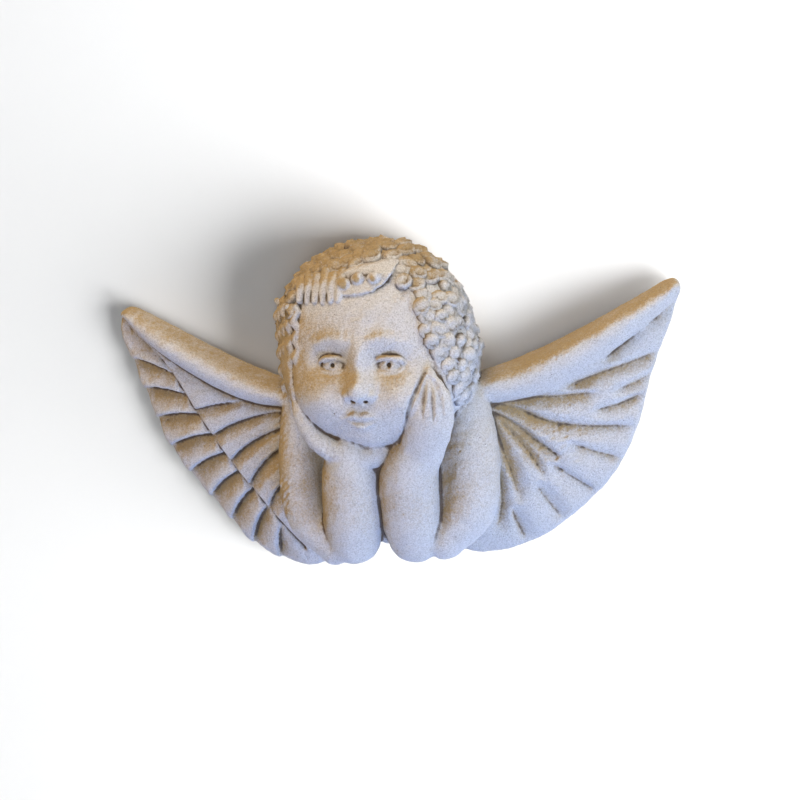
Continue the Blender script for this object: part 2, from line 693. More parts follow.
def skull_level(x, z, forward):
    """1 on the bare skull, less inside and more outside, in the head's frame."""
    power = skull_power(z)
    return sum(np.abs(share)**power for share in skull_shares(x, z, forward)) ** (1 / power)


def skull_depth(x, z):
    """How far forward the bare skull reaches at a place of the head's frame."""
    across, up, _ = skull_shares(x, z, 0.0)
    power = float(skull_power(z))
    rest = 1 - abs(across)**power - abs(up)**power
    return float(SKULL[2] * max(rest, 0) ** (1 / power))


def face_rise(x, z):
    """How far the soft forms of the face stand out at a place of the head's frame."""
    rise = 0
    for middle, height, wide, high, lift, paired in FACE_FORMS:
        up = ((z - height) / high)**2
        for side in ((-1, 1) if paired else (1,)):
            rise = rise + lift * np.exp(-((x - side * middle) / wide)**2 - up)
    return rise


def on_face(x, z, lift=0.0):
    """A place of the head's frame on the skin of the face, lifted by so much."""
    return (x, z, skull_depth(x, z) + float(face_rise(x, z)) + lift)


def oval_gap(x, z):
    """Distance outside the oval of the face, in the head's frame."""
    power = FACE_OVAL["squareness"]
    away = x - FACE_OVAL["x"]
    cheek = np.where(away > 0, CHEEK_SPREAD * np.maximum(CHEEK_TOP - z, 0), 0)
    across = np.abs(away / (FACE_OVAL["half_width"] + cheek))**power
    up = np.abs((z - FACE_OVAL["z"]) / FACE_OVAL["half_height"])**power
    return ((across + up) ** (1 / power) - 1) * FACE_OVAL["half_width"]


class Head:
    """Skull with the soft forms of the face, the scalp a little proud, and the block behind it."""

    def __init__(self):
        reach = max(SKULL) + HAIR_PROUD + HEAD_MARGIN
        self.low = np.array([HEAD_CENTRE[0] - reach, HEAD_CENTRE[1] - reach, BEHIND_BACK])
        self.high = np.array([HEAD_CENTRE[0] + reach, HEAD_CENTRE[1] + reach, GRID_HIGH[2]])

    def distance(self, x, z, depth):
        """Distance to the skin of the face, the scalp or the block behind them."""
        right, up, forward = POSE.local(x, z, depth)
        length = np.sqrt(right**2 + up**2 + forward**2) + SMALL_LENGTH
        rise = face_rise(right, up) * soft_step(forward / length, *FACE_FORWARD)
        level = skull_level(right, up, forward - rise) + SMALL_LEVEL
        face = length * (1 - 1 / level)
        bare = skull_level(right, up, forward) + SMALL_LEVEL
        scalp = length * (1 - 1 / bare)
        block = self.block(x, z, depth)
        crown = soft_min(scalp, block, HEAD_BLEND) - HAIR_PROUD
        hairy = soft_max(-oval_gap(right, up), HAIR_BOTTOM - up, HEAD_BLEND)
        crown = soft_max(crown, hairy, HAIR_EDGE_BLEND)
        return soft_min(soft_min(face, block, HEAD_BLEND), crown, HAIRLINE_BLEND)

    def block(self, x, z, depth):
        """The straight part between the widest line of the head and the flat back."""
        dx, dz = x - HEAD_CENTRE[0], z - HEAD_CENTRE[1]
        level = skull_level(dx / NECK_SHARE, dz / NECK_SHARE, 0 * dx) + SMALL_LEVEL
        around = np.sqrt(dx**2 + dz**2) * (1 - 1 / level)
        return soft_max(around, depth - HEAD_CENTRE[2], BLOCK_ROUNDING)


def segment_gap(start, stop, x, z):
    """Squared distance to a straight stretch of a line, and the share along it."""
    (ax, az), (bx, bz) = start, stop
    run_x, run_z = bx - ax, bz - az
    along = np.clip(((x - ax) * run_x + (z - az) * run_z) / (run_x**2 + run_z**2 + SMALL_AREA), 0, 1)
    return (x - ax - along * run_x)**2 + (z - az - along * run_z)**2, along


def outline_distance(outline, x, z):
    """Distance to a closed outline, negative inside."""
    best = np.full(np.broadcast(x, z).shape, FAR_SQUARED, np.float32)
    inside = np.zeros(best.shape, bool)
    for (ax, az), (bx, bz) in zip(outline, np.roll(outline, -1, axis=0)):
        gap, _ = segment_gap((ax, az), (bx, bz), x, z)
        best = np.minimum(best, gap)
        if az != bz:
            crossing = (az > z) != (bz > z)
            inside ^= crossing & (x < ax + (z - az) * (bx - ax) / (bz - az))
    return np.where(inside, -1, 1) * np.sqrt(best)


def line_distance(line, x, z):
    """Distance to an open line, the side of it (1 to the left of its direction) and the share along it."""
    best = np.full(np.broadcast(x, z).shape, FAR_SQUARED, np.float32)
    side = np.ones(best.shape, np.float32)
    share = np.zeros(best.shape, np.float32)
    for k, (start, stop) in enumerate(zip(line[:-1], line[1:])):
        gap, along = segment_gap(start, stop, x, z)
        nearer = gap < best
        run_x, run_z = stop - start
        turn = np.where(run_x * (z - start[1]) - run_z * (x - start[0]) > 0, 1, -1)
        side = np.where(nearer, turn, side)
        share = np.where(nearer, (k + along) / (len(line) - 1), share)
        best = np.where(nearer, gap, best)
    return np.sqrt(best), side, share


def groove_cut(line, x, z, lower_side):
    """Share of a worn groove's depth at each place: a long slope on the side that looks up or left."""
    curve = smooth_line(line, LINE_STEPS)
    gap, side, share = line_distance(curve, x, z)
    length = np.linalg.norm(np.diff(curve, axis=0), axis=1).sum()
    fade = soft_step(np.minimum(share, 1 - share) * length, 0, WORN_FADE)
    run_x, run_z = curve[-1] - curve[0]
    gentle_side = -lower_side if abs(run_z) > abs(run_x) else lower_side
    below = side * gentle_side > 0
    slope = np.maximum(1 - gap / WORN_GENTLE, 0)**WORN_SLOPE
    return fade * np.where(below, slope, np.exp(-gap / WORN_STEEP))


def ripple(x, z, length, seed):
    """Slow hand-made unevenness between about -1 and 1, with the given wave length."""
    draw = np.random.default_rng(seed)
    total = 0
    for _ in range(RIPPLE_WAVES):
        angle = draw.uniform(0, math.tau)
        pitch = math.tau / (length * draw.uniform(*RIPPLE_RANGE))
        phase = draw.uniform(0, math.tau)
        total = total + np.sin(pitch * (math.cos(angle) * x + math.sin(angle) * z) + phase)
    return total / WAVE_SUM


def arc_places(line, shares):
    """Places at the given shares of a line's length."""
    steps = np.linalg.norm(np.diff(line, axis=0), axis=1)
    run = np.concatenate([[0], np.cumsum(steps)]) / steps.sum()
    return np.column_stack([np.interp(shares, run, line[:, k]) for k in range(2)])


def softened(relief):
    """A relief with its sharp steps eased over about two cells of the grid."""
    for axis in (0, 1):
        ahead, behind = np.roll(relief, 1, axis), np.roll(relief, -1, axis)
        relief = 0.5 * relief + 0.25 * (ahead + behind)
    return relief


class FeatherRow:
    """A row of feathers between slightly bowed lines from the starts to the ends."""

    def __init__(self, starts, ends, side):
        self.starts, self.ends = np.asarray(starts, float), np.asarray(ends, float)
        self.side = side

    def below(self, k, x, z):
        """Distance below one of the lines, negative above it."""
        run = self.ends[k] - self.starts[k]
        length = np.hypot(*run)
        run = run / length
        dx, dz = x - self.starts[k, 0], z - self.starts[k, 1]
        along = np.clip((dx * run[0] + dz * run[1]) / length, 0, 1)
        bow = 4 * FEATHER_BOW * length * along * (1 - along)
        return self.side * (run[0] * dz - run[1] * dx) + bow

    def cut(self, x, z):
        """Share of the groove depth: greatest at each feather's upper line, least near its lower one."""
        total = np.zeros(np.shape(x))
        above = self.below(0, x, z)
        for k in range(len(self.starts) - 1):
            below = -self.below(k + 1, x, z)
            corners = np.vstack([self.starts[k:k + 2], self.ends[k:k + 2]])
            middle = corners.mean(0)
            reach = FEATHER_REACH * np.linalg.norm(corners - middle, axis=1).max()
            inside = (above >= 0) & (below > 0) & (np.hypot(x - middle[0], z - middle[1]) < reach)
            width = np.maximum(above + below, LEAST_FEATHER_WIDTH)
            share = np.clip(above / width, 0, 1)
            fall = np.maximum(1 - share / FEATHER_CREST, 0)**FEATHER_FALL
            droop = FEATHER_DROOP * np.maximum((share - FEATHER_CREST) / (1 - FEATHER_CREST), 0)**2
            root_x, root_z = self.ends[k + 1]
            fade = soft_step(np.hypot(x - root_x, z - root_z), 0, FEATHER_ROOT_FADE)
            fullness = np.minimum(width / FULL_FEATHER_WIDTH, DEEPEST_FEATHER)
            total = np.where(inside, fade * (fall + droop) * fullness, total)
            above = -below
        return total


class Wing:
    """A spread wing: a low relief of overlapping feathers within its outline."""

    def __init__(self, lines, groove_depth, crisp):
        self.lines = lines
        self.groove_depth = groove_depth
        self.crisp = crisp
        self.top = smooth_line(lines["top"], LINE_STEPS)
        self.outer = smooth_line(lines["outer"], 2 * LINE_STEPS)
        self.outline = np.vstack([self.top[:-1], self.outer, lines["body"]])
        self.side = 1 if self.outline[:, 0].mean() > 0 else -1
        self.top_edge = np.vstack([self.top, self.top[-1] + TIP_RUN * (self.top[-1] - self.top[-2])])
        self.low = np.append(self.outline.min(0) - WING_MARGIN, BEHIND_BACK)
        self.high = np.append(self.outline.max(0) + WING_MARGIN, WING_FRONT)

    def crisp_cut(self, x, z, below_roll):
        """Share of groove on a crisp wing: a row of full feathers on either side of the middle line."""
        middle = smooth_line(self.lines["middle"], LINE_STEPS)
        gap, turn, _ = line_distance(middle, x, z)
        inside = np.where(turn > 0, gap, -gap)
        outer, inner = self.lines["outer_grooves"], self.lines["inner_grooves"]
        outer_ends = arc_places(middle, outer["middle"])
        outer_row = FeatherRow(arc_places(self.outer, outer["edge"]), outer_ends, self.side)
        inner_row = FeatherRow(arc_places(middle, inner["middle"]), inner["roots"], self.side)
        step = soft_step(inside, -OVERLAP_SOFTNESS, OVERLAP_SOFTNESS)
        first = inner_row.below(0, x, z)
        cut = outer_row.cut(x, z) * (1 - step) + inner_row.cut(x, z) * step
        upper = below_roll / np.maximum(below_roll - first, LEAST_FEATHER_WIDTH)
        roll_feather = np.maximum(1 - upper / FEATHER_CREST, 0) * (first < 0) * step
        cut = np.maximum(cut, ROLL_FEATHER_CUT * roll_feather)
        cut = np.maximum(cut, MIDDLE_LINE_CUT * np.exp(-gap / MIDDLE_LINE_WIDTH))
        return cut - OVERLAP_LIFT / self.groove_depth * step

    def worn_cut(self, x, z):
        """Share of groove on a worn wing, from its loose grooves."""
        cut = np.zeros(np.shape(x))
        for line in self.lines["grooves"]:
            cut = np.maximum(cut, groove_cut(line, x, z, self.side))
        return cut

    def relief(self, x, z):
        """Depth of the front of the wing, and the share of groove at each place."""
        edge, _, _ = line_distance(self.outer, x, z)
        front = WING_EDGE_DEPTH + WING_RISE * (1 - np.exp(-edge / WING_RISE_REACH))
        gap, turn, _ = line_distance(smooth_line(self.lines["roll"], LINE_STEPS), x, z)
        top, _, _ = line_distance(self.top_edge, x, z)
        above = np.where(turn * self.side < 0, gap, 0)
        below = np.where(turn * self.side < 0, 0, gap)
        width = above + top + ROLL_LEAST_WIDTH
        bulge = np.sin(math.pi * np.clip(above / width, 0, 1))**ROLL_FULLNESS
        bulge = bulge * np.minimum(width / ROLL_WIDTH, 1)
        front = front + self.lines["roll_lift"] * bulge
        cut = self.crisp_cut(x, z, below) if self.crisp else self.worn_cut(x, z)
        rim = RIM_CUT + (1 - RIM_CUT) * soft_step(edge, 0, RIM_FADE)
        cut = cut * soft_step(below, 0, ROLL_CLEARANCE) * rim
        line_width = np.where(above > 0, *ROLL_LINE_WIDTHS)
        cut = np.maximum(cut, self.lines["roll_line"] * np.exp(-gap / line_width))
        uneven = WING_RIPPLE * ripple(x, z, WING_RIPPLE_LENGTH, SEED + self.side)
        return front - self.groove_depth * cut + uneven, cut

    def groove_on(self, x, z, depth):
        """Share of groove at places on the front of the wing, and 0 elsewhere."""
        front, cut = self.relief(x, z)
        return np.where(np.abs(depth - front) < GROOVE_SKIN, np.clip(cut, 0, 1)**GROOVE_WEAR_POWER, 0)

    def distance(self, x, z, depth):
        """Distance to the skin of the wing."""
        flat_x, flat_z = np.broadcast_arrays(x[:, :, 0], z[:, :, 0])
        front, cut = self.relief(flat_x, flat_z)
        front = softened(front)
        edge = outline_distance(self.outline, flat_x, flat_z) + EDGE_NOTCH * np.maximum(cut, 0)
        top_gap, top_turn, _ = line_distance(self.top_edge, flat_x, flat_z)
        top = np.where(top_turn * self.side > 0, top_gap, -top_gap)
        skin = soft_max(depth - front[:, :, None], edge[:, :, None], EDGE_ROUNDING)
        return soft_max(skin, top[:, :, None], TOP_ROUNDING)


class Chest:
    """The block of the body between the wings, behind the arms."""

    low = np.append(np.min(CHEST_OUTLINE, axis=0) - CHEST_MARGIN, BEHIND_BACK)
    high = np.append(np.max(CHEST_OUTLINE, axis=0) + CHEST_MARGIN, CHEST_DEPTH + CHEST_MARGIN)

    def distance(self, x, z, depth):
        """Distance to the skin of the block."""
        edge = outline_distance(CHEST_OUTLINE, x[:, :, 0], z[:, :, 0])
        return soft_max(depth - CHEST_DEPTH, edge[:, :, None], CHEST_ROUNDING)


def eyelid(lid, side, eye):
    """A lid that arches over or under an eye, from its inner to its outer corner."""
    half_width, offset, rise, corner_out, middle_out, radii = lid
    x, z, depth = eye
    arch = []
    for angle in LID_ANGLES:
        across = x - side * half_width * math.cos(angle)
        height = z + offset + rise * math.sin(angle)
        arch.append((across, height, depth + corner_out + middle_out * math.sin(angle)))
    return Limb(arch, radii, on_head=True)


def face_line(line, side=1):
    """A round form along a line of the face, and how softly it blends."""
    places, lift, radii, blend = line
    return Limb([on_face(side * x, z, lift) for x, z in places], radii, on_head=True), blend


def face_round(form, side=1):
    """An egg on the face, and how softly it blends."""
    (x, z), lift, halves, blend = form
    return Egg(on_face(side * x, z, lift), halves, on_head=True), blend


def model_face(clay):
    """Eyes with their lids, brows, the nose and the lips."""
    for side in (-1, 1):
        across, height = EYE_PLACE
        eye = on_face(side * across, height, EYE_SINK)
        clay.add(Egg(eye, EYE_HALF, on_head=True), EYE_BLEND)
        clay.add(eyelid(UPPER_LID, side, eye), UPPER_LID_BLEND)
        clay.add(eyelid(LOWER_LID, side, eye), LOWER_LID_BLEND)
        pupil = [(eye[0], eye[1], eye[2] + reach) for reach in PUPIL_SPAN]
        clay.carve(Limb(pupil, PUPIL_RADII, on_head=True), PUPIL_BLEND)
        clay.add(*face_line(BROW, side))
        clay.add(*face_round(NOSE_WING, side))
        clay.carve(*face_round(NOSTRIL, side))
    clay.add(*face_round(NOSE_TIP))
    clay.add(*face_line(UPPER_LIP))
    clay.add(*face_line(LOWER_LIP))
    clay.carve(*face_line(LIP_PARTING))


def proud_line(clay, line, lift):
    """Places (x, z) of a line set on the front of the stone, lifted by so much."""
    return [(x, z, clay.front(x, z) + lift) for x, z in line]


class Sheet:
    """A flat pad of clay laid over the front of the stone within an outline."""

    def __init__(self, clay, outline, thickness):
        self.outline = np.asarray(outline, float)
        places = np.array(proud_line(clay, outline, 0.0))
        self.low = places.min(0) - SHEET_MARGIN
        self.high = places.max(0) + SHEET_MARGIN
        part, _ = clay.window(self.low - SHEET_BLEND - 1, self.high + SHEET_BLEND + 1)
        solid = clay.field[part[0], part[1]] < 0
        last = solid.shape[2] - 1 - np.argmax(solid[:, :, ::-1], axis=2)
        rise = PAD_RISE * np.maximum(clay.axes[1][part[1]] - self.low[1], 0)
        self.front = clay.axes[2][last] + thickness + rise

    def distance(self, x, z, depth):
        """Distance to the skin of the pad."""
        edge = outline_distance(self.outline, x[:, :, 0], z[:, :, 0])
        return soft_max(depth - self.front[:, :, None], edge[:, :, None], SHEET_ROUNDING)


def model_fringe(clay):
    """Straight strands and a flat pad with beads over the forehead, and wavy locks by the left cheek."""
    strands = [proud_line(clay, line, STRAND_LIFT) for line in STRANDS]
    clay.add(Sheet(clay, PAD, PAD_THICKNESS), SHEET_BLEND)
    beads = proud_line(clay, BEADS, BEAD_LIFT)
    for strand, radii in zip(strands, STRAND_RADII):
        clay.add(Limb(strand, radii), STRAND_BLEND)
    for bead in beads:
        clay.add(Egg(bead, BEAD_HALF), BEAD_BLEND)
    for across, depth, phase in SIDE_LOCKS:
        heights = np.arange(*LOCK_SPAN, -LOCK_WAVE / 4)
        swing = LOCK_SWING * np.sin(math.tau * heights / LOCK_WAVE + phase)
        line = [(across + shift, z, depth - LOCK_FALL * abs(z - LOCK_MIDDLE))
                for shift, z in zip(swing, heights)]
        clay.add(Limb(line, LOCK_RADII), LOCK_BLEND)


def model_arms(clay):
    """Both bent arms with their elbows at the lower edge, and the hands that hold the chin."""
    for (places, radii), flatness, blend in LIMBS:
        clay.add(Limb(places, radii, flatness), blend)
    for line in [proud_line(clay, places, FINGER_GROOVE_LIFT) for places in FINGER_GROOVES]:
        clay.carve(Limb(line, FINGER_GROOVE_RADII), FINGER_GROOVE_BLEND)


def waves(x, z, depth, length, seed):
    """Uneven waves in space between about -1 and 1, with the given length."""
    draw = np.random.default_rng(seed)
    total = 0
    for _ in range(SPACE_WAVES):
        way = draw.normal(size=3)
        way *= math.tau / (length * draw.uniform(*SPACE_RANGE) * np.linalg.norm(way))
        total = total + np.sin(way[0] * x + way[1] * z + way[2] * depth + draw.uniform(0, math.tau))
    return (total / WAVE_SUM).astype(np.float32)


def weather(clay, pits):
    """Uneven skin, rough patches and small pits where air was caught in the mould."""
    near = np.nonzero(np.abs(clay.field) < SKIN_BAND)
    x, z, depth = (axis[k] for axis, k in zip(clay.axes, near))
    fine, fine_length = FINE_ROUGHNESS
    slow, slow_length = SLOW_ROUGHNESS
    rough = fine * waves(x, z, depth, fine_length, SEED + 3)
    rough = rough + slow * waves(x, z, depth, slow_length, SEED + 4)
    for patch_x, patch_z, reach in ROUGH_PATCHES:
        share = np.exp(-((x - patch_x)**2 + (z - patch_z)**2) / reach**2)
        rough += PATCH_ROUGHNESS * share * waves(x, z, depth, fine_length, SEED + 5)
    clay.field[near] += rough
    draw = np.random.default_rng(SEED)
    made = 0
    while made < pits:
        place_x = draw.uniform(GRID_LOW[0] + PIT_MARGIN, GRID_HIGH[0] - PIT_MARGIN)
        place_z = draw.uniform(GRID_LOW[1] + PIT_MARGIN, GRID_HIGH[1] - PIT_MARGIN)
        size = draw.uniform(*PIT_SIZES)
        front = clay.front(place_x, place_z)
        if front is None:
            continue
        pit = Egg((place_x, place_z, front + PIT_LIFT), (size, size, PIT_STRETCH * size))
        clay.carve(pit, PIT_BLEND)
        made += 1
    clay.field = np.maximum(clay.field, -clay.axes[2])


def box_mean(mass, steps):
    """Mean of a grid over boxes that reach so many cells each way."""
    width = 2 * steps + 1
    for axis in range(3):
        pad = [(0, 0)] * 3
        pad[axis] = (steps + 1, steps)
        run = np.cumsum(np.pad(mass, pad, mode="edge"), axis=axis, dtype=np.float32)
        size = mass.shape[axis]
        upper = np.take(run, range(width, width + size), axis=axis)
        lower = np.take(run, range(0, size), axis=axis)
        mass = (upper - lower) / width
    return mass


def sampled(grid, index):
    """Values of a grid between its cells."""
    base = np.clip(np.floor(index).astype(int), 0, np.array(grid.shape) - 2)
    share = index - base
    total = 0
    for corner in np.ndindex(2, 2, 2):
        weight = np.prod(np.where(corner, share, 1 - share), axis=1)
        total = total + weight * grid[tuple((base + corner).T)]
    return total


def hollow_share(clay, points):
    """How sunk each place of the skin lies among the stone around it, from 0 on ridges to 1 in grooves."""
    index = (points - clay.low) / clay.cell
    solid = (clay.field < 0).astype(np.float32)
    total = np.zeros(len(points))
    for reach, weight in HOLLOW_REACHES:
        mass = sampled(box_mean(solid, max(1, round(reach / clay.cell))), index)
        total += weight * np.clip((mass - FLAT_SKIN) / FULL_HOLLOW, 0, 1)
    return total


def to_metres(places):
    """Places (x, z, depth) in millimetres as Blender points."""
    return turned_ways(places) * MM


def turned_ways(ways):
    """Directions (x, z, depth) as Blender directions."""
    ways = np.asarray(ways)
    return np.column_stack([ways[:, 0], -ways[:, 2], ways[:, 1]])


def store(mesh, name, values):
    """Keeps one number for each vertex of a mesh."""
    held = mesh.attributes.get(name) or mesh.attributes.new(name, "FLOAT", "POINT")
    held.data.foreach_set("value", np.asarray(values, np.float32))


def mesh_from(clay, name):
    """The skin of the sculpture as a mesh in metres, with its hollows as an attribute."""
    grid = openvdb.FloatGrid(FAR_AWAY)
    grid.copyFromArray(clay.field)
    points, triangles, quads = grid.convertToPolygons(0.0, 0.0)
    places = points * clay.cell + clay.low
    mesh = bpy.data.meshes.new(name)
    mesh.from_pydata(to_metres(places).tolist(), [], quads.tolist() + triangles.tolist())
    mesh.update()
    store(mesh, "hollow", hollow_share(clay, places))
    return mesh


def read_vectors(items, name):
    """A vector of each vertex or face of a mesh, in rows."""
    values = np.empty(3 * len(items), np.float32)
    items.foreach_get(name, values)
    return values.reshape(-1, 3)


def flatten_back(mesh):
    """Shades the skin smooth and the back flat."""
    facing_back = read_vectors(mesh.polygons, "normal")[:, 1]
    mesh.polygons.foreach_set("use_smooth", facing_back < BACK_FACING)
    mesh.update()


def mark_sheltered(mesh, wings=()):
    """Keeps how bare each vertex is: by the way it faces, in worn grooves and where the brush went."""
    x, back, z = read_vectors(mesh.vertices, "co").T / MM
    facing = read_vectors(mesh.vertex_normals, "vector") @ np.array(SHELTERED_SIDE)
    bare = soft_step(facing, *SHELTER_SPAN)
    for wing in wings:
        bare += GROOVE_WEAR * wing.groove_on(x, z, -back)
    for touch_x, touch_z, reach, amount in TOUCHES:
        bare += amount * np.exp(-((x - touch_x)**2 + (z - touch_z)**2) / reach**2)
    bare = np.where(-back < BACK_SKIN, BACK_BARE, bare)
    store(mesh, "sheltered", np.clip(bare, 0, 1))


def shade_scalp(mesh, curls):
    """Darkens the scalp between the curls."""
    places, _ = curl_places(curls.spacing / MM)
    skin = read_vectors(mesh.vertices, "co")
    hollow = np.empty(len(skin), np.float32)
    mesh.attributes["hollow"].data.foreach_get("value", hollow)
    for place in to_metres(places):
        near = np.sum((skin - place)**2, axis=1) < (SCALP_SHARE * curls.radius)**2
        hollow[near] = np.maximum(hollow[near], SCALP_HOLLOW)
    store(mesh, "hollow", hollow)


def finish_piece(piece):
    """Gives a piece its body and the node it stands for."""
    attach(piece, "root")
    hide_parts(NODE)


def new_object(name, data):
    """An object at the origin that holds a mesh, a light or a camera."""
    piece = bpy.data.objects.new(name, data)
    bpy.context.scene.collection.objects.link(piece)
    return piece


def baked_mesh(piece, name):
    """The evaluated shape of an object as a plain mesh."""
    graph = bpy.context.evaluated_depsgraph_get()
    mesh = bpy.data.meshes.new_from_object(
        piece.evaluated_get(graph), preserve_all_data_layers=True, depsgraph=graph)
    mesh.name = name
    return mesh


class ORNAMENT_OT_cast_body(bpy.types.Operator):
    """Sculpts the head, arms, hands, chest and wings as one casting."""

    bl_idname = "ornament.cast_body"
    bl_label = "Cast Body"

    def execute(self, context):
        sizes = context.scene.ornament_casting
        clay = Clay(sizes.cell)
        wings = [
            Wing(LEFT_WING, sizes.left_groove, crisp=True),
            Wing(RIGHT_WING, sizes.right_groove, crisp=False),
        ]
        for wing in wings:
            clay.add(wing)
        clay.add(Chest(), BODY_BLEND)
        clay.add(Head(), BODY_BLEND)
        model_face(clay)
        model_fringe(clay)
        model_arms(clay)
        weather(clay, sizes.pits)
        mesh = mesh_from(clay, "cherub_body")
        body = new_object("cherub_body", mesh)
        count = sum(len(face.vertices) - 2 for face in mesh.polygons)
        thin = body.modifiers.new("thin", "DECIMATE")
        thin.ratio = min(1.0, sizes.triangles / count)
        thinned = baked_mesh(body, "cherub_body")
        body.modifiers.remove(thin)
        body.data = thinned
        bpy.data.meshes.remove(mesh)
        flatten_back(thinned)
        mark_sheltered(thinned, wings)
        shade_scalp(thinned, context.scene.ornament_curls)
        thinned.materials.append(stone_material(context.scene.ornament_stone))
        finish_piece(body)
        return {"FINISHED"}


def on_skull(places):
    """Places moved straight out from the head's centre to the bare skull."""
    for _ in range(SKULL_ROUNDS):
        places = places / skull_level(*places.T)[:, None]
    return places


def scalp_trials(draw):
    """Trial places on the skull in the head's frame with their outward directions."""
    turn = draw.uniform(0, math.tau, SKULL_TRIALS)
    forward = draw.uniform(0, 1, SKULL_TRIALS)
    flat = np.sqrt(1 - forward**2)
    ways = np.column_stack([flat * np.cos(turn), flat * np.sin(turn), forward])
    places = on_skull(ways * SKULL[2])
    power = skull_power(places[:, 1])[:, None] - 1
    slopes = np.sign(places) * np.abs(places / SKULL)**power / SKULL
    return places, slopes / np.linalg.norm(slopes, axis=1)[:, None]


def side_trials(draw):
    """Trial places on the straight part behind the skull with their outward directions."""
    turn = draw.uniform(0, math.tau, SIDE_TRIALS)
    slopes = np.column_stack([np.cos(turn), np.sin(turn), np.zeros(SIDE_TRIALS)])
    places = NECK_SHARE * on_skull(slopes * SKULL[0]) + HEAD_CENTRE
    places[:, 2] = draw.uniform(CURL_BACK, HEAD_CENTRE[2], SIDE_TRIALS)
    hairy = places[:, 1] > HEAD_CENTRE[1] + HAIR_BOTTOM + SIDE_BOTTOM_GAP
    return places[hairy], slopes[hairy]


def curl_places(spacing):
    """Centres and outward directions of the curls, packed closely from the hairline outwards."""
    draw = np.random.default_rng(SEED + 1)
    places, slopes = scalp_trials(draw)
    x, z, forward = places.T
    gap = oval_gap(x, z) / spacing
    fringe_x, fringe_z = FRINGE_TOP
    fringe = (x > fringe_x[0]) & (x < fringe_x[-1]) & (z < np.interp(x, fringe_x, fringe_z))
    locks = (x < LOCKS_INNER_SIDE) & (z < LOCKS_TOP) & (forward > LOCKS_BACK)
    hairy = (gap > HAIRLINE_GAP) & (z > HAIR_BOTTOM + CURL_BOTTOM_GAP) & ~fringe & ~locks
    order = np.argsort(np.floor(gap[hairy] - HAIRLINE_GAP), kind="stable")
    places, slopes = places[hairy][order], slopes[hairy][order]
    side_places, side_slopes = side_trials(draw)
    places = np.vstack([POSE.place(places), side_places])
    slopes = np.vstack([slopes @ POSE.axes, side_slopes])
    kept = [0]
    for k in range(1, len(places)):
        if np.min(np.sum((places[kept] - places[k])**2, axis=1)) > spacing**2:
            kept.append(k)
    lift = HAIR_PROUD + draw.uniform(*CURL_SINK, len(kept))
    lean = draw.normal(0, CURL_LEAN, (len(kept), 3))
    return places[kept] + lift[:, None] * slopes[kept], slopes[kept] + lean


class NodeBench:
    """Adds and links the nodes of one tree."""

    def __init__(self, tree):
        self.tree = tree

    def add(self, kind, links=(), **settings):
        """A node with its settings, and its inputs linked or set by place or name."""
        node = self.tree.nodes.new(kind)
        for name, value in settings.items():
            setattr(node, name, value)
        for socket, value in dict(links).items():
            if isinstance(value, bpy.types.NodeSocket):
                self.tree.links.new(value, node.inputs[socket])
            else:
                node.inputs[socket].default_value = value
        return node

    def math(self, operation, *values):
        """A number worked out from one, two or three others."""
        return self.add("ShaderNodeMath", enumerate(values), operation=operation).outputs[0]

    def ranged(self, value, low, high, most=1.0, easing="SMOOTHSTEP"):
        """A number that rises from 0 at low to its most at high."""
        limits = {"Value": value, "From Min": low, "From Max": high, "To Max": most}
        return self.add("ShaderNodeMapRange", limits, interpolation_type=easing).outputs[0]

    def blend(self, share, first, second):
        """A colour between two others."""
        return self.add("ShaderNodeMix", {0: share, 6: first, 7: second}, data_type="RGBA").outputs[2]


def profile(bench, points, across):
    """A measure of a curl by the distance from its middle."""
    node = bench.add("ShaderNodeFloatCurve", {1: across})
    curve = node.mapping.curves[0]
    for k, (at, height) in enumerate(points):
        point = curve.points[k] if k < 2 else curve.points.new(at, height)
        point.location = (at, height)
        point.handle_type = "VECTOR"
    node.mapping.update()
    return node.outputs[0]


